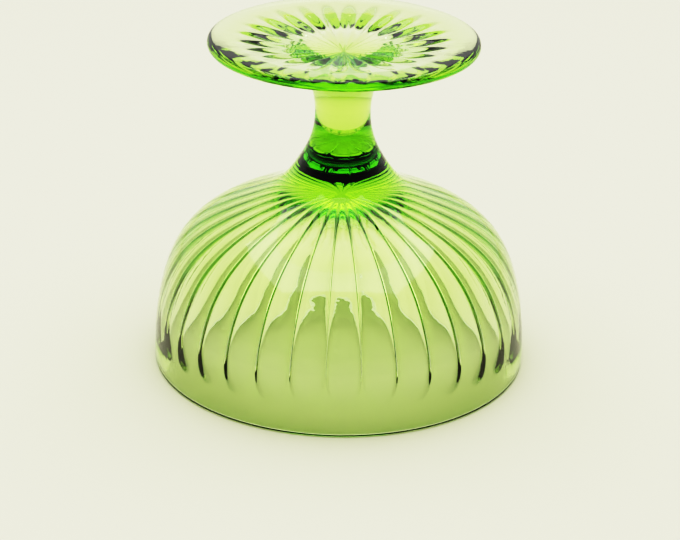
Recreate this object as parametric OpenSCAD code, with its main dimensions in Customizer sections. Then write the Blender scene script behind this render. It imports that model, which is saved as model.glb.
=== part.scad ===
// Pressed glass sherbet dish, stored upturned on its rim with the foot on top.
// +Z runs from the rim plane up to the foot. The origin is the centre of the rim plane.

/* [Bowl] */
// Diameter across the rim
rim_d = 100; // [80:1:120]
// Height from the rim plane to the top of the bowl's base
bowl_h = 52; // [44:0.5:64]
// Wall between the outside and the crests of the ribs
rim_wall = 2.6; // [2:0.1:3.4]
// Glass left in the middle of the base
base_wall = 7.5; // [6:0.1:9]
// Rounding along both edges of the rim
lip_round = 0.7; // [0.3:0.1:0.9]
// How far the shoulder lies inside the rim
shoulder_in = 8.5; // [7:0.1:10]
// How far the shoulder lies below the top of the base
shoulder_drop = 17.2; // [15:0.1:19]
// Steepness of the outside at the shoulder, in degrees
shoulder_slope = 49; // [44:1:54]
// Radius of the hollow's own shoulder
hollow_round = 31; // [27:0.5:33]
// Angle at which the hollow's shoulder runs out into its crown
crown_angle = 55; // [50:1:62]

/* [Flutes] */
// Number of flutes round the inside of the bowl
bowl_flutes = 32; // [24:1:36]
// Depth of the bowl's flutes below the rib crests
bowl_flute_depth = 0.9; // [0.4:0.1:1.2]
// Width of the rib left between two of the bowl's flutes
bowl_rib_w = 1.4; // [0.8:0.1:1.8]
// Plain band between the rim plane and the flutes
band_h = 7; // [5:0.5:11]
// Radius inside which the bowl's base is left plain
plain_r = 13; // [11:0.5:16]
// Number of flutes under the foot
foot_flutes = 24; // [16:1:26]
// Depth of the foot's flutes at their outer ends
foot_flute_depth = 0.9; // [0.4:0.1:1.2]
// Width of the rib left between two of the foot's flutes
foot_rib_w = 1.4; // [0.8:0.1:1.8]

/* [Stem] */
// Height of the stem between the bowl and the foot
stem_h = 30; // [24:0.5:40]
// Radius of the joint between the bowl and the stem
stem_base_r = 14.4; // [13:0.1:16]
// Steepness of the outside at that joint, in degrees
stem_base_slope = 53; // [48:1:58]
// Radius of the waist
waist_r = 7.3; // [5.5:0.1:8.5]
// Height of the waist above the bowl
waist_rise = 17.5; // [14:0.5:20]
// Radius of the joint between the stem and the foot
stem_top_r = 11.5; // [10:0.1:13]

/* [Foot] */
// Diameter of the foot
foot_d = 70.6; // [60:0.2:84]
// Height of the foot from the stem joint to the rest ring
foot_h = 8; // [7:0.1:10]
// Radius of the foot's rounded edge
foot_edge_r = 1.45; // [1.2:0.05:2]
// Width of the flat ring that the dish stands on in use
rest_w = 5; // [3:0.1:6]
// Depth of the hollow under the foot, at its middle
foot_hollow = 4.2; // [3:0.1:4.8]
// Radius at which the foot's plate leaves the root of the stem
foot_knee_r = 18.5; // [17:0.1:21]
// Distance from the rest ring to the far side of the plate there
foot_knee_h = 4.5; // [4.2:0.1:5]
// Radius inside which the foot's hollow is left plain
foot_plain_r = 7; // [6:0.5:10]
// Plain strip between the ends of the foot's flutes and the rest ring
foot_plain_w = 0.6; // [0.4:0.1:1.5]

/* [Hidden] */
$fn = 96;
curve_steps = 14;
cut_past = 1;
rim_r = rim_d / 2;
foot_r = foot_d / 2;
total_h = bowl_h + stem_h + foot_h;

// handles of the outside curves, as lengths along their tangents
wall_pull = 25.5;
shoulder_pull_low = 1.8;
shoulder_pull_high = 11.3;
base_pull = 9;
stem_pull_base = 5.5;
waist_pull_low = 7.5;
waist_pull_high = 5;
stem_top_slope = 48;
stem_pull_top = 4;
foot_pull_root = 4.5;
foot_pull_knee_in = 3.5;
foot_pull_knee_out = 6;
foot_pull_plate = 4;
foot_knee_slope = 3;
foot_plate_slope = 8;

// hollow of the bowl: upright wall, round shoulder, shallow crown
hollow_r = rim_r - rim_wall;
hollow_centre_r = hollow_r - hollow_round;
crown_joint_r = hollow_centre_r + hollow_round * cos(crown_angle);
crown_round = crown_joint_r / cos(crown_angle);
hollow_wall_h = bowl_h - base_wall - hollow_round * sin(crown_angle)
              - crown_round * (1 - sin(crown_angle));
crown_centre_z = bowl_h - base_wall - crown_round;

// hollow under the foot
rest_outer_r = foot_r - foot_edge_r;
rest_inner_r = rest_outer_r - rest_w;
foot_flute_end_r = rest_inner_r - foot_plain_w;

// a point at a distance and an angle from another one
function off(p, length, angle) = p + length * [cos(angle), sin(angle)];

// points along a cubic curve from a to b with handles ha and hb
function curve(a, ha, hb, b) = [
    for (i = [0 : curve_steps])
        let (t = i / curve_steps, u = 1 - t)
        u * u * u * a + 3 * u * u * t * ha + 3 * u * t * t * hb + t * t * t * b
];

// points along an arc
function arc(centre, r, from, to, steps) = [
    for (i = [0 : steps]) off(centre, r, from + (to - from) * i / steps)
];

// outside of the bowl, from the rim up to the stem joint
function bowl_outline() =
    let (foot_of_wall = [rim_r, lip_round],
         shoulder = [rim_r - shoulder_in, bowl_h - shoulder_drop],
         top = [stem_base_r, bowl_h],
         up = 180 - shoulder_slope,
         top_up = 180 - stem_base_slope)
    concat(
        curve(foot_of_wall, off(foot_of_wall, wall_pull, 90),
              off(shoulder, -shoulder_pull_low, up), shoulder),
        curve(shoulder, off(shoulder, shoulder_pull_high, up),
              off(top, -base_pull, top_up), top)
    );

// outside of the stem, from the bowl joint over the waist to the foot joint
function stem_outline() =
    let (base = [stem_base_r, bowl_h],
         waist = [waist_r, bowl_h + waist_rise],
         top = [stem_top_r, bowl_h + stem_h])
    concat(
        curve(base, off(base, stem_pull_base, 180 - stem_base_slope),
              off(waist, -waist_pull_low, 90), waist),
        curve(waist, off(waist, waist_pull_high, 90),
              off(top, -stem_pull_top, stem_top_slope), top)
    );

// underside of the foot as it stands here, from the stem joint to the rounded edge
function foot_outline() =
    let (root = [stem_top_r, bowl_h + stem_h],
         edge = [rest_outer_r, total_h - foot_edge_r],
         edge_low = off(edge, foot_edge_r, foot_plate_slope - 90),
         knee = [foot_knee_r, total_h - foot_knee_h])
    concat(
        curve(root, off(root, foot_pull_root, stem_top_slope),
              off(knee, -foot_pull_knee_in, foot_knee_slope), knee),
        curve(knee, off(knee, foot_pull_knee_out, foot_knee_slope),
              off(edge_low, -foot_pull_plate, foot_plate_slope), edge_low),
        arc(edge, foot_edge_r, foot_plate_slope - 90, 90, curve_steps)
    );

// half section of the bowl's hollow, level lying further into the glass
module hollow_section(level) {
    translate([0, -cut_past])
        square([hollow_r + level, hollow_wall_h + cut_past]);
    intersection() {
        translate([hollow_centre_r, hollow_wall_h]) circle(r = hollow_round + level);
        translate([0, hollow_wall_h]) square([rim_r, bowl_h]);
    }
    intersection() {
        translate([0, crown_centre_z]) circle(r = crown_round + level);
        translate([0, hollow_wall_h]) square([crown_joint_r, bowl_h]);
    }
}

// upright plates, one on each rib line
module rib_plates(count, width, reach, low, high) {
    for (i = [0 : count - 1])
        rotate([0, 0, (i + 0.5) * 360 / count])
            translate([0, -width / 2, low]) cube([reach, width, high - low]);
}

module bowl() {
    color("greenyellow")
    difference() {
        rotate_extrude()
            polygon(concat([[0, 0], [rim_r - lip_round, 0]], bowl_outline(), [[0, bowl_h]]));
        rotate_extrude() hollow_section(0);
        // inner edge of the rim, eased so that a flat land is left
        rotate_extrude()
            polygon([[hollow_r - cut_past, -cut_past], [hollow_r + lip_round + cut_past, -cut_past],
                     [hollow_r - cut_past, lip_round + cut_past]]);
        difference() {
            intersection() {
                rotate_extrude() hollow_section(bowl_flute_depth);
                translate([0, 0, band_h]) cylinder(r = rim_r, h = bowl_h);
            }
            rib_plates(bowl_flutes, bowl_rib_w, rim_r, 0, bowl_h);
            translate([0, 0, band_h]) cylinder(r = plain_r, h = bowl_h);
        }
    }
}

module stem() {
    color("greenyellow")
    rotate_extrude()
        polygon(concat([[0, bowl_h]], stem_outline(), [[0, bowl_h + stem_h]]));
}

module foot() {
    hollow_z = total_h - foot_hollow;
    color("greenyellow")
    difference() {
        rotate_extrude() polygon(concat([[0, bowl_h + stem_h]], foot_outline(), [[0, total_h]]));
        rotate_extrude()
            polygon([[0, hollow_z], [rest_inner_r, total_h], [rest_inner_r, total_h + cut_past],
                     [0, total_h + cut_past]]);
        difference() {
            rotate_extrude()
                polygon([[foot_plain_r, hollow_z],
                         [foot_flute_end_r, total_h - foot_flute_depth],
                         [foot_flute_end_r, total_h + cut_past],
                         [foot_plain_r, total_h + cut_past]]);
            rib_plates(foot_flutes, foot_rib_w, foot_r, hollow_z - cut_past, total_h + 2 * cut_past);
        }
    }
}

bowl();
stem();
foot();
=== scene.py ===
# %% [markdown]
# # A pressed uranium glass sherbet dish, upturned on its rim
#
# The dish is a round bowl on a waisted stem and a round foot. It is stored upside down, as glass is on a
# shelf, so the rim is at the bottom here and the foot is on top. All three are solid glass that runs on
# from one to the next with no joint to be seen: such a dish was either pressed whole or stuck together
# hot. Nothing hides inside clear glass, so its inner surfaces matter as much as its outer ones: the
# flutes are pressed into the inside of the bowl and the underside of the foot, and the outside is smooth.

# %% Load the fixed frame
import math

import bmesh
import bpy
from mathutils import Matrix, Vector


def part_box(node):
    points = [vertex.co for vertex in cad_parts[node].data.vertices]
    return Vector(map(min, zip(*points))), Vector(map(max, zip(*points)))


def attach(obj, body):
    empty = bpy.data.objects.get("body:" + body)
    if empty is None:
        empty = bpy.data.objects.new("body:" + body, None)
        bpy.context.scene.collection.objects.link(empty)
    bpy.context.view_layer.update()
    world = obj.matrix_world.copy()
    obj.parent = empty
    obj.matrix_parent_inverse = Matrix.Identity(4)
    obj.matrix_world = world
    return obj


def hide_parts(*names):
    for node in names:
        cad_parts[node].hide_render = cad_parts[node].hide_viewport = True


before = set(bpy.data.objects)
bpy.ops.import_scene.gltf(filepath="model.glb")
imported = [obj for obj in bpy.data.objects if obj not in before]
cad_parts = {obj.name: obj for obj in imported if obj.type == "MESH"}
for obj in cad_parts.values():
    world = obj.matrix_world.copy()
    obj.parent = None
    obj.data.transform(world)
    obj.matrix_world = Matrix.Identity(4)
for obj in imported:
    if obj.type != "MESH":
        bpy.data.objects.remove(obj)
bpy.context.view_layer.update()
print("nodes:", sorted(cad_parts))

# %% [markdown]
# ## Sizes
#
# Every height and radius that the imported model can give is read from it. The sizes of the curves between
# them are the ones that a mould maker would write on a drawing, in millimetres. Two faces in exactly the
# same plane confuse a renderer, which can't tell which comes first, so neighbouring pieces stay a
# hundredth of a millimetre apart. That gap is also how far off a surface a point may be and still count
# as lying on it.

# %% Sizes
MM = 0.001
GAP = 0.01 * MM
bowl_low, bowl_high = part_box("bowl")
stem_low, stem_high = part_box("stem")
foot_low, foot_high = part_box("foot")
RIM_R = (bowl_high.x - bowl_low.x) / 2
FOOT_R = (foot_high.x - foot_low.x) / 2
STEM_BASE_R = (stem_high.x - stem_low.x) / 2
BOWL_TOP = stem_low.z
STEM_TOP = stem_high.z
TOTAL_H = foot_high.z
print(f"rim {RIM_R / MM:.1f} mm, foot {FOOT_R / MM:.1f} mm, height {TOTAL_H / MM:.1f} mm")

# %% [markdown]
# ## Outlines
#
# Each piece is turned, so it starts as half a section: a chain of points in the plane of radius and
# height. A modifier could round a rough shape off, but a lens needs its exact curve. Long curves are
# therefore cubic curves between two points with a handle at each end, rounded edges are arcs, and where
# two of them meet they share one direction, because the least corner shows in clear glass as a line. Only
# the inner edge of the foot's rest ring is a real corner.

# %% Helpers for outlines
def off(point, length, degrees):
    """The point at a distance and an angle from another one."""
    a = math.radians(degrees)
    return Vector((point[0] + length * math.cos(a), point[1] + length * math.sin(a)))


def curve(start, handle_a, handle_b, end, steps):
    """Points along a cubic curve, without its first point."""
    points = []
    for i in range(1, steps + 1):
        t = i / steps
        u = 1 - t
        points.append(u ** 3 * Vector(start) + 3 * u * u * t * Vector(handle_a)
                      + 3 * u * t * t * Vector(handle_b) + t ** 3 * Vector(end))
    return points


def arc(centre, radius, first, last, steps):
    """Points along an arc from one angle to another, without its first point."""
    return [off(centre, radius, first + (last - first) * i / steps) for i in range(1, steps + 1)]


def line(start, end, steps):
    """Points along a straight line, without its first point."""
    return [Vector(start).lerp(Vector(end), i / steps) for i in range(1, steps + 1)]


# %% [markdown]
# ## Turning a section into a body
#
# A chain of edges is spun round the upright axis, but only far enough to make one slice, such as one
# flute. That slice is shaped, and a second spin, which copies instead of extruding, repeats it all the
# way round. It is much quicker than a full turn in hundreds of steps. The points on the axis and along
# the cuts come out more than once, so doubles are merged before the normals are worked out.

# %% A turned body
def turn(section, slices, steps, first=0.0, press=None):
    """A closed body from a half section: one slice is spun and pressed, then repeated round the axis."""
    bm = bmesh.new()
    chain = [bm.verts.new((p[0] * math.cos(first), p[0] * math.sin(first), p[1])) for p in section]
    edges = [bm.edges.new(pair) for pair in zip(chain, chain[1:])]
    bmesh.ops.spin(bm, geom=chain + edges, cent=(0, 0, 0), axis=(0, 0, 1), dvec=(0, 0, 0),
                   angle=math.tau / slices, steps=steps)
    if press:
        press(bm)
    one_slice = bm.verts[:] + bm.edges[:] + bm.faces[:]
    bmesh.ops.spin(bm, geom=one_slice, cent=(0, 0, 0), axis=(0, 0, 1), dvec=(0, 0, 0),
                   angle=math.tau * (slices - 1) / slices, steps=slices - 1, use_duplicate=True)
    bmesh.ops.remove_doubles(bm, verts=bm.verts, dist=0.001 * MM)
    bmesh.ops.recalc_face_normals(bm, faces=bm.faces)
    return bm


# %% [markdown]
# ## Fused faces
#
# On the real dish no surface lies between bowl, stem and foot, whichever way it was made. Here they stay
# separate, so each has a flat face where it meets the next. Those faces are marked in an attribute, which
# the glass reads further down. Every face is smooth, flat ones too: the renderer keeps a list of the
# glass that a ray is inside of, and it tells smooth and flat faces apart in it, so a ray that came in by
# a smooth face and left by a flat one would go on darkening. Sharp edges round the fused faces keep their
# corners crisp instead.

# %% A finished piece
FLAT = 0.999


def finish_body(name, bm, material, fused_heights):
    """Writes the mesh, all smooth, and marks the flat faces that are fused to the next piece."""
    fused = bm.faces.layers.float.new("fused")
    for face in bm.faces:
        face.smooth = True
        flat = abs(face.normal.z) > FLAT
        face[fused] = float(flat and any(abs(face.calc_center_median().z - z) < GAP for z in fused_heights))
    for edge in bm.edges:
        edge.smooth = len({face[fused] for face in edge.link_faces}) == 1
    mesh = bpy.data.meshes.new(name)
    bm.to_mesh(mesh)
    bm.free()
    body = bpy.data.objects.new(name, mesh)
    bpy.context.scene.collection.objects.link(body)
    mesh.materials.append(material)
    print(name, len(mesh.polygons), "faces")
    return body


# %% [markdown]
# ## Colours and nodes
#
# Colours are written as sRGB hex values, which are short and easy to compare, and one function turns them
# into the linear values that a shader counts in. One more function adds a shader node with its settings
# and its links, so that a material reads as a short list.

# %% Helpers for materials
def hex_colour(text):
    """A linear colour with alpha 1 from an sRGB hex value such as #D9FA60."""
    channels = [int(text[i:i + 2], 16) / 255 for i in (1, 3, 5)]
    linear = [c / 12.92 if c <= 0.04045 else ((c + 0.055) / 1.055) ** 2.4 for c in channels]
    return (*linear, 1.0)


def add(tree, kind, settings=None, links=None):
    """Adds a node, sets its properties or input values by name, and links its inputs by name."""
    node = tree.nodes.new(kind)
    for key, value in (settings or {}).items():
        if key in node.inputs:
            node.inputs[key].default_value = value
        else:
            setattr(node, key, value)
    for key, socket in (links or {}).items():
        tree.links.new(socket, node.inputs[key])
    return node


# %% [markdown]
# ## Uranium glass
#
# The real one is soda-lime glass with a little uranium oxide, pressed in an iron mould and fire polished.
# Its colour is in the glass and not on it: a thin wall looks pale yellow-green, and a long way through
# the base, the edge of the foot or along a rib turns deep green. A volume that takes up light does
# exactly that, so the surface itself stays colourless. Its density says how strongly a metre of glass
# takes up light, and its colour says which light it spares.
#
# The skin is not quite even. The mould leaves slow waves several millimetres long, and glass that touched
# cool iron has a finer ripple, the chill marks. Both are bumps of a few hundredths of a millimetre or
# less. Where two pieces are fused there is no surface at all, so the shader reads the attribute there and
# gives those faces the index of what lies on both sides of them, which bends nothing and reflects
# nothing.

# %% Glass material
GLASS_IOR = 1.52
NO_BEND = 1.0
GLASS_COLOUR = "#D9FA60"
GLASS_DENSITY = 120.0
WAVE_SIZE = 7 * MM
WAVE_HEIGHT = 0.03 * MM
CHILL_SIZE = 1.6 * MM
CHILL_HEIGHT = 0.008 * MM


def ripple(tree, size, detail, height, under=None):
    """A bump of noise with waves of one size and height, laid over another bump if there is one."""
    place = add(tree, "ShaderNodeTexCoord").outputs["Object"]
    noise = add(tree, "ShaderNodeTexNoise", {"Scale": 1 / size, "Detail": detail}, {"Vector": place})
    links = {"Height": noise.outputs["Fac"]}
    if under:
        links["Normal"] = under
    return add(tree, "ShaderNodeBump", {"Strength": 1.0, "Distance": height}, links).outputs["Normal"]


def pressed_uranium_glass():
    """Clear soda-lime glass that takes up blue most and red a little, with faint waves from the mould."""
    material = bpy.data.materials.new("pressed_uranium_glass")
    material.use_nodes = True
    tree = material.node_tree
    tree.nodes.clear()
    waves = ripple(tree, WAVE_SIZE, 2.0, WAVE_HEIGHT)
    skin = ripple(tree, CHILL_SIZE, 1.0, CHILL_HEIGHT, waves)
    fused = add(tree, "ShaderNodeAttribute", {"attribute_name": "fused"})
    index = add(tree, "ShaderNodeMapRange", {"To Min": GLASS_IOR, "To Max": NO_BEND},
                {"Value": fused.outputs["Fac"]})
    surface = add(tree, "ShaderNodeBsdfPrincipled",
                  {"Base Color": (1, 1, 1, 1), "Roughness": 0.0, "IOR": GLASS_IOR,
                   "Transmission Weight": 1.0},
                  {"Normal": skin, "IOR": index.outputs["Result"]})
    inside = add(tree, "ShaderNodeVolumeAbsorption",
                 {"Color": hex_colour(GLASS_COLOUR), "Density": GLASS_DENSITY})
    add(tree, "ShaderNodeOutputMaterial", {},
        {"Surface": surface.outputs["BSDF"], "Volume": inside.outputs["Volume"]})
    return material


glass = pressed_uranium_glass()
print(glass.name, "index", GLASS_IOR)

# %% [markdown]
# ## The bowl's hollow
#
# The bowl is the widest piece and the only hollow one. A plunger pushed soft glass up against the walls
# of a mould, so its inside has the plunger's shape: an upright wall, a round shoulder and a shallow
# crown. They are drawn as a line and two arcs that run into one another, which also makes it easy to tell
# later which of the three a point lies on. The crown's radius isn't chosen. It follows from the angle at
# which the shoulder ends.

# %% Bowl hollow
RIM_WALL = 2.6 * MM
LIP = 0.7 * MM
BASE_WALL = 7.5 * MM
HOLLOW_ROUND = 31 * MM
CROWN_ANGLE = 55
HOLLOW_R = RIM_R - RIM_WALL

hollow_centre_r = HOLLOW_R - HOLLOW_ROUND
crown_joint_r = hollow_centre_r + HOLLOW_ROUND * math.cos(math.radians(CROWN_ANGLE))
crown_round = crown_joint_r / math.cos(math.radians(CROWN_ANGLE))
crown_rise = crown_round * (1 - math.sin(math.radians(CROWN_ANGLE)))
hollow_wall_top = BOWL_TOP - BASE_WALL - HOLLOW_ROUND * math.sin(math.radians(CROWN_ANGLE)) - crown_rise


def hollow_points():
    """The inside of the bowl from the rim to the middle of the base, at the level of the rib crests."""
    crown_centre = (0, BOWL_TOP - BASE_WALL - crown_round)
    return (line((HOLLOW_R, LIP), (HOLLOW_R, hollow_wall_top), 20)
            + arc((hollow_centre_r, hollow_wall_top), HOLLOW_ROUND, 0, CROWN_ANGLE, 34)
            + arc(crown_centre, crown_round, CROWN_ANGLE, 90, 16))


print(f"upright wall to {hollow_wall_top / MM:.1f} mm, crown radius {crown_round / MM:.1f} mm")

# %% [markdown]
# ## The bowl's outside
#
# The outside is the mould's smooth wall. It rises almost upright from the rim, rolls over the shoulder
# and sweeps up in a hollow curve to the stem. Two cubic curves with one direction at the shoulder draw
# that with few numbers. Together with the hollow they set how thick the glass is, and so where it shows
# the floor and where it throws the view back inside: the dark bands round the joint come from the thick
# base and not from any colour put there. The rim is a narrow flat land with both of its edges rounded.

# %% Bowl outside
SHOULDER = Vector((RIM_R - 8.5 * MM, BOWL_TOP - 17.2 * MM))
SHOULDER_UP = 180 - 49
STEM_BASE_UP = 180 - 53
WALL_PULL = 25.5 * MM
SHOULDER_PULL_LOW = 1.8 * MM
SHOULDER_PULL_HIGH = 11.3 * MM
BASE_PULL = 9 * MM


def outside_points():
    """The outside of the bowl from the rim to the edge of the stem joint."""
    start = Vector((RIM_R, LIP))
    top = Vector((STEM_BASE_R, BOWL_TOP - GAP))
    below = off(SHOULDER, -SHOULDER_PULL_LOW, SHOULDER_UP)
    above = off(SHOULDER, SHOULDER_PULL_HIGH, SHOULDER_UP)
    return (curve(start, off(start, WALL_PULL, 90), below, SHOULDER, 22)
            + curve(SHOULDER, above, off(top, -BASE_PULL, STEM_BASE_UP), top, 22))


def bowl_section():
    """Half a section of the bowl, from the middle of the hollow round the rim to the middle of the joint."""
    inside = [Vector((HOLLOW_R, LIP))] + hollow_points()
    rim = (arc((HOLLOW_R + LIP, LIP), LIP, 180, 270, 5)
           + line((HOLLOW_R + LIP, 0), (RIM_R - LIP, 0), 1)
           + arc((RIM_R - LIP, LIP), LIP, 270, 360, 5))
    outside = outside_points()
    joint = line(outside[-1], (0, BOWL_TOP - GAP), 3)
    return inside[::-1] + rim + outside + joint


print("bowl section:", len(bowl_section()), "points")

# %% [markdown]
# ## Flutes
#
# A fluted plunger pressed the hollows into the soft glass. Each flute is a wide, nearly flat panel, and
# the metal between two panels of the plunger was a narrow groove, so a thin sharp rib stands up between
# them. A hyperbolic cosine has that shape: flat in the middle and steep at its ends. Cutting cylinders
# out of the wall would also leave ribs, but with hollow troughs between them and not panels. The panels
# are made by moving the turned points along the wall's own normal, and the points are first crowded
# towards the ribs, where the shape turns quickly. Above the plain band at the rim each panel ends in a
# round arch.

# %% Flute shape
RIB_SHARPNESS = 4.2
RIB_CROWD = 0.75


def crowd_to_ribs(bm, count, first):
    """Moves the points of one slice towards its two cuts, where the ribs are."""
    for v in bm.verts:
        r = math.hypot(v.co.x, v.co.y)
        phase = (math.atan2(v.co.y, v.co.x) - first) % math.tau * count
        a = first + (phase - RIB_CROWD * math.sin(phase)) / count
        v.co.x = r * math.cos(a)
        v.co.y = r * math.sin(a)


def across_panel(v, count, first):
    """Where a point lies across its panel, from 0 on the middle line to 1 on either rib."""
    turns = (math.atan2(v.co.y, v.co.x) - first) * count / math.tau
    return abs(2 * (turns % 1.0) - 1)


def panel_depth(across, past, deep):
    """How deep the panel is pressed: across is 0 on its middle line and 1 on a rib, past is 1 at its end."""
    q = math.hypot(across, past)
    if q >= 1:
        return 0.0
    return deep * (1 - math.cosh(RIB_SHARPNESS * q) / math.cosh(RIB_SHARPNESS))


# %% [markdown]
# ## Pressing the bowl
#
# The depth of a panel is a share of its width, so the flutes get shallower as they draw together towards
# the base, and it fades towards the rim. Thirty-two flutes go round, and the first rib stands a little to
# the left of the front.

# %% Bowl
BOWL_FLUTES = 32
FLUTE_STEPS = 20
FIRST_RIB = math.radians(-90 - 3.9)
FLUTE_RATIO = 0.115
FLUTE_FADE = 0.9
BAND = 16 * MM
FLUTE_ROUND = 9.5 * MM


def hollow_place(r, z):
    """The direction into the glass and the distance from the rim, or nothing away from the hollow."""
    shoulder = Vector((r - hollow_centre_r, z - hollow_wall_top))
    crown = Vector((r, z - (BOWL_TOP - BASE_WALL - crown_round)))
    if LIP < z <= hollow_wall_top and abs(r - HOLLOW_R) < GAP:
        return Vector((1, 0)), z
    if z > hollow_wall_top and abs(shoulder.length - HOLLOW_ROUND) < GAP:
        return shoulder.normalized(), hollow_wall_top + HOLLOW_ROUND * math.atan2(shoulder.y, shoulder.x)
    if GAP < r < crown_joint_r and abs(crown.length - crown_round) < GAP:
        return crown.normalized(), BOWL_TOP
    return None


def press_bowl(bm):
    """Moves the points of the hollow out into the wall to form the panels."""
    crowd_to_ribs(bm, BOWL_FLUTES, FIRST_RIB)
    for v in bm.verts:
        r = math.hypot(v.co.x, v.co.y)
        place = hollow_place(r, v.co.z)
        if not place:
            continue
        direction, along = place
        past = max(0.0, (BAND - along) / FLUTE_ROUND)
        deep = FLUTE_RATIO * math.tau * r / BOWL_FLUTES * (1 - FLUTE_FADE * min(1.0, past))
        depth = panel_depth(across_panel(v, BOWL_FLUTES, FIRST_RIB), past, deep)
        v.co.x *= 1 + depth * direction.x / r
        v.co.y *= 1 + depth * direction.x / r
        v.co.z += depth * direction.y


bowl_mesh = turn(bowl_section(), BOWL_FLUTES, FLUTE_STEPS, FIRST_RIB, press_bowl)
bowl = finish_body("bowl_glass", bowl_mesh, glass, [BOWL_TOP - GAP])

# %% [markdown]
# ## The stem
#
# The stem is a solid waisted neck that flares at both ends, so all the glass in it works as one thick
# lens. Its side is two cubic curves that meet upright at the waist, and at each end it carries on in the
# direction of the bowl or the foot, so that no line shows at the joint.

# %% Stem outline
WAIST = Vector((7.3 * MM, BOWL_TOP + 17.5 * MM))
STEM_TOP_R = 11.5 * MM
STEM_TOP_UP = 48
STEM_PULL_BASE = 5.5 * MM
WAIST_PULL_LOW = 7.5 * MM
WAIST_PULL_HIGH = 5 * MM
STEM_PULL_TOP = 4 * MM


def stem_section():
    """Half a section of the solid stem, from one fused face over the waist to the other."""
    base = Vector((STEM_BASE_R, BOWL_TOP))
    top = Vector((STEM_TOP_R, STEM_TOP))
    low = curve(base, off(base, STEM_PULL_BASE, STEM_BASE_UP), off(WAIST, -WAIST_PULL_LOW, 90), WAIST, 26)
    high = curve(WAIST, off(WAIST, WAIST_PULL_HIGH, 90), off(top, -STEM_PULL_TOP, STEM_TOP_UP), top, 18)
    return ([Vector((0, BOWL_TOP)), Vector((STEM_BASE_R / 2, BOWL_TOP)), base] + low + high
            + [Vector((STEM_TOP_R / 2, STEM_TOP)), Vector((0, STEM_TOP))])


print("stem section:", len(stem_section()), "points")

# %% [markdown]
# ## Mould seams
#
# Mould blocks met round the stem, three of them by assumption, and each joint between them left a fine
# upright seam, which fire polishing softened but didn't take away. A seam is a low, narrow swell with no
# edges, so the points near it are lifted by a bell curve. It fades out towards both ends of the stem.

# %% Stem
SEAMS = [math.radians(-78 + 120 * i) for i in range(3)]
SEAM_HEIGHT = 0.12 * MM
SEAM_WIDTH = 0.2 * MM
SEAM_FADE = 3 * MM


def raise_seams(bm):
    """Lifts the points near each seam a little, less and less towards the two fused faces."""
    for v in bm.verts:
        r = math.hypot(v.co.x, v.co.y)
        if r < GAP:
            continue
        aside = min(abs(math.remainder(math.atan2(v.co.y, v.co.x) - a, math.tau)) for a in SEAMS)
        fade = min(1.0, (v.co.z - BOWL_TOP) / SEAM_FADE, (STEM_TOP - v.co.z) / SEAM_FADE)
        lift = 1 + fade * SEAM_HEIGHT * math.exp(-(aside * r / SEAM_WIDTH) ** 2) / r
        v.co.x *= lift
        v.co.y *= lift


stem_mesh = turn(stem_section(), slices=12, steps=40)
raise_seams(stem_mesh)
stem = finish_body("stem_glass", stem_mesh, glass, [BOWL_TOP, STEM_TOP])

# %% [markdown]
# ## The foot's outline
#
# The foot is a round plate with a rounded edge. Its root flares out of the stem up to a knee, and from
# there the plate runs out nearly level to its edge. In use the dish stands on the flat ring round the
# outside, and inside that ring the foot is hollowed to a shallow cone, so that it doesn't rock.

# %% Foot outline
EDGE_R = 1.45 * MM
REST_W = 5 * MM
FOOT_HOLLOW = 4.2 * MM
PLATE_SLOPE = 8
KNEE = Vector((18.5 * MM, TOTAL_H - 4.5 * MM))
KNEE_SLOPE = 3
ROOT_PULL = 4.5 * MM
KNEE_PULL_IN = 3.5 * MM
KNEE_PULL_OUT = 6 * MM
PLATE_PULL = 4 * MM
REST_OUTER_R = FOOT_R - EDGE_R
REST_INNER_R = REST_OUTER_R - REST_W


def foot_section():
    """Half a section of the foot, from the fused face round the edge to the middle of the hollow."""
    root = Vector((STEM_TOP_R, STEM_TOP + GAP))
    edge = Vector((REST_OUTER_R, TOTAL_H - EDGE_R))
    edge_low = off(edge, EDGE_R, PLATE_SLOPE - 90)
    flare = curve(root, off(root, ROOT_PULL, STEM_TOP_UP), off(KNEE, -KNEE_PULL_IN, KNEE_SLOPE), KNEE, 14)
    plate = curve(KNEE, off(KNEE, KNEE_PULL_OUT, KNEE_SLOPE),
                  off(edge_low, -PLATE_PULL, PLATE_SLOPE), edge_low, 12)
    rounded = arc(edge, EDGE_R, PLATE_SLOPE - 90, 90, 14)
    rest = line((REST_OUTER_R, TOTAL_H), (REST_INNER_R, TOTAL_H), 2)
    hollow = line((REST_INNER_R, TOTAL_H), (0, TOTAL_H - FOOT_HOLLOW), 34)
    joint = [Vector((0, STEM_TOP + GAP)), Vector((STEM_TOP_R / 2, STEM_TOP + GAP))]
    return joint + [root] + flare + plate + rounded + rest + hollow


print(f"rest ring from {REST_INNER_R / MM:.1f} to {REST_OUTER_R / MM:.1f} mm")

# %% [markdown]
# ## The rays under the foot
#
# Twenty-four rays are pressed into the foot's hollow, long petals that are deepest about two thirds of
# the way out and come to a point at the rest ring. Their sides are soft, so here the depth follows a
# cosine and not the bowl's hyperbolic cosine. The points are again moved straight into the glass after
# the slice is turned.

# %% Foot
FOOT_FLUTES = 24
FOOT_STEPS = 20
FOOT_FLUTE_RATIO = 0.22
PETAL_START = 16 * MM
PETAL_TAPER = 13.5 * MM
FIRST_FOOT_RIB = math.radians(94.3)


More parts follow.
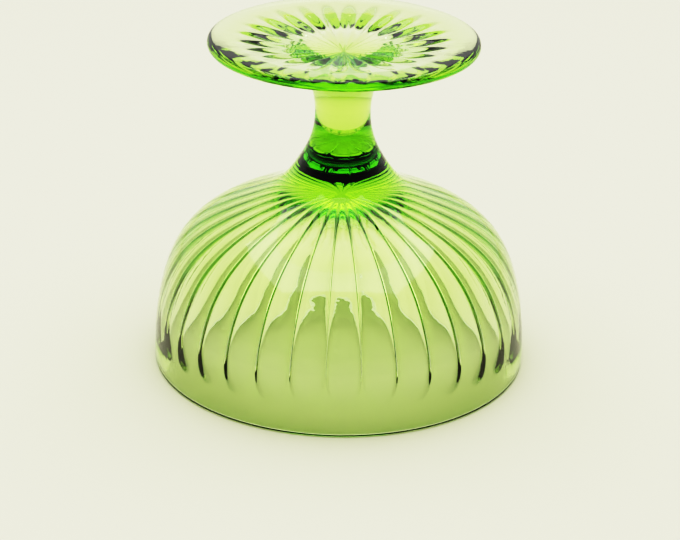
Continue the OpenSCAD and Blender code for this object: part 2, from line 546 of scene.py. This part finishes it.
def press_foot(bm):
    """Moves the points of the foot's hollow down into the glass to form its flutes."""
    crowd_to_ribs(bm, FOOT_FLUTES, FIRST_FOOT_RIB)
    slope = FOOT_HOLLOW / REST_INNER_R
    for v in bm.verts:
        r = math.hypot(v.co.x, v.co.y)
        on_hollow = abs(v.co.z - (TOTAL_H - FOOT_HOLLOW + slope * r)) < GAP
        if not on_hollow or not GAP < r < REST_INNER_R - GAP:
            continue
        width = math.tau * r / FOOT_FLUTES
        past = max(0.0, (r - PETAL_START) / PETAL_TAPER)
        across = math.hypot(across_panel(v, FOOT_FLUTES, FIRST_FOOT_RIB), past)
        v.co.z -= FOOT_FLUTE_RATIO * width * (1 + math.cos(math.pi * min(1.0, across))) / 2


foot_mesh = turn(foot_section(), FOOT_FLUTES, FOOT_STEPS, FIRST_FOOT_RIB, press_foot)
foot = finish_body("foot_glass", foot_mesh, glass, [STEM_TOP + GAP])

# %% [markdown]
# ## Tying the pieces to the frame
#
# Nothing on the dish moves, so all three pieces ride on its one body. Each takes the place of the plain
# piece of the same name, and all share one material slot, because they are the same glass.

# %% Tie the pieces to the frame
for piece, node in ((bowl, "bowl"), (stem, "stem"), (foot, "foot")):
    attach(piece, "root")
    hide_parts(node)
    print(piece.name, "stands in for", node)

# %% [markdown]
# ## Floor
#
# The dish stands on a wide matt board of a warm white, with no edge in view. Glass shows mostly what is
# behind and under it, so the board's colour is a large part of the dish's own.

# %% Floor
FLOOR_HALF = 4.0


def matt_white_board():
    """A matt painted board, warm white, with no gloss that could mirror the dish."""
    material = bpy.data.materials.new("matt_white_board")
    material.use_nodes = True
    tree = material.node_tree
    tree.nodes.clear()
    surface = add(tree, "ShaderNodeBsdfPrincipled", {"Base Color": hex_colour("#EAE8CE"), "Roughness": 0.9})
    add(tree, "ShaderNodeOutputMaterial", {}, {"Surface": surface.outputs["BSDF"]})
    return material


floor_mesh = bpy.data.meshes.new("floor")
bm = bmesh.new()
bmesh.ops.create_grid(bm, x_segments=1, y_segments=1, size=FLOOR_HALF)
bm.to_mesh(floor_mesh)
bm.free()
floor = bpy.data.objects.new("floor", floor_mesh)
bpy.context.scene.collection.objects.link(floor)
floor_mesh.materials.append(matt_white_board())
print("floor", 2 * FLOOR_HALF, "m wide")

# %% [markdown]
# ## Light
#
# One large softbox overhead gives the dish its soft shadow, and small lamps would only put hard white
# dots on the glass. The rest is the room, which is darker in front of the dish than behind it. Glass
# needs that: a ray that is thrown back towards the front meets the dark side, and without it every edge
# would fade into the background.

# %% Light
DARK_SIDE = 0.45
PALE_SIDE = 0.8
ROOM_COLOUR = "#F4F6EE"


def softbox(name, place, target, width, height, power):
    """A rectangular area light at a place, turned to a target."""
    lamp = bpy.data.lights.new(name, "AREA")
    lamp.shape = "RECTANGLE"
    lamp.size = width
    lamp.size_y = height
    lamp.energy = power
    box = bpy.data.objects.new(name, lamp)
    box.location = place
    box.rotation_euler = (Vector(target) - Vector(place)).to_track_quat("-Z", "Y").to_euler()
    bpy.context.scene.collection.objects.link(box)
    print(name, power, "W")


softbox("overhead", place=(0, 0.1, 1.1), target=(0, 0, 0), width=1.4, height=1.2, power=8.5)

world = bpy.data.worlds.new("studio")
bpy.context.scene.world = world
world.use_nodes = True
tree = world.node_tree
backwards = add(tree, "ShaderNodeSeparateXYZ", {},
                {"Vector": add(tree, "ShaderNodeTexCoord").outputs["Generated"]}).outputs["Y"]
brightness = add(tree, "ShaderNodeMapRange",
                 {"From Min": -0.5, "From Max": 0.5, "To Min": DARK_SIDE, "To Max": PALE_SIDE},
                 {"Value": backwards})
background = tree.nodes["Background"]
background.inputs["Color"].default_value = hex_colour(ROOM_COLOUR)
tree.links.new(brightness.outputs["Result"], background.inputs["Strength"])

# %% [markdown]
# ## Camera and tone
#
# The camera looks down at the dish by about 24 degrees from a good half metre away, with a long lens, so
# that the two rings of the rim and the foot look nearly parallel. It leans by one degree, as a camera
# held in the hand does. The tone curve deepens the darks and holds the whites back, which gives the glass
# its strong greens.

# %% Camera
CAMERA_DISTANCE = 539.9 * MM
CAMERA_HEIGHT = 268.6 * MM
CAMERA_PITCH = math.radians(24.37)
CAMERA_ROLL = math.radians(1.03)
SENSOR = 36
FOCAL = 116.5

camera_data = bpy.data.cameras.new("camera")
camera_data.sensor_width = SENSOR
camera_data.lens = FOCAL
camera_data.clip_start = 0.01
camera = bpy.data.objects.new("camera", camera_data)
camera.matrix_world = (Matrix.Translation((0, -CAMERA_DISTANCE, CAMERA_HEIGHT))
                       @ Matrix.Rotation(math.pi / 2 - CAMERA_PITCH, 4, "X")
                       @ Matrix.Rotation(CAMERA_ROLL, 4, "Z"))
bpy.context.scene.collection.objects.link(camera)
bpy.context.scene.camera = camera
print("lens", camera_data.lens, "mm")

# %% Tone
TONE = ((0.045, 0.012), (0.12, 0.09), (0.35, 0.46), (0.6, 0.73))
WHITEST = 0.88

view = bpy.context.scene.view_settings
view.view_transform = "Standard"
view.use_curve_mapping = True
tone = view.curve_mapping.curves[3]
for light_in, light_out in TONE:
    tone.points.new(light_in, light_out)
tone.points[-1].location = (1.0, WHITEST)
view.curve_mapping.update()
print("tone curve:", len(tone.points), "points")
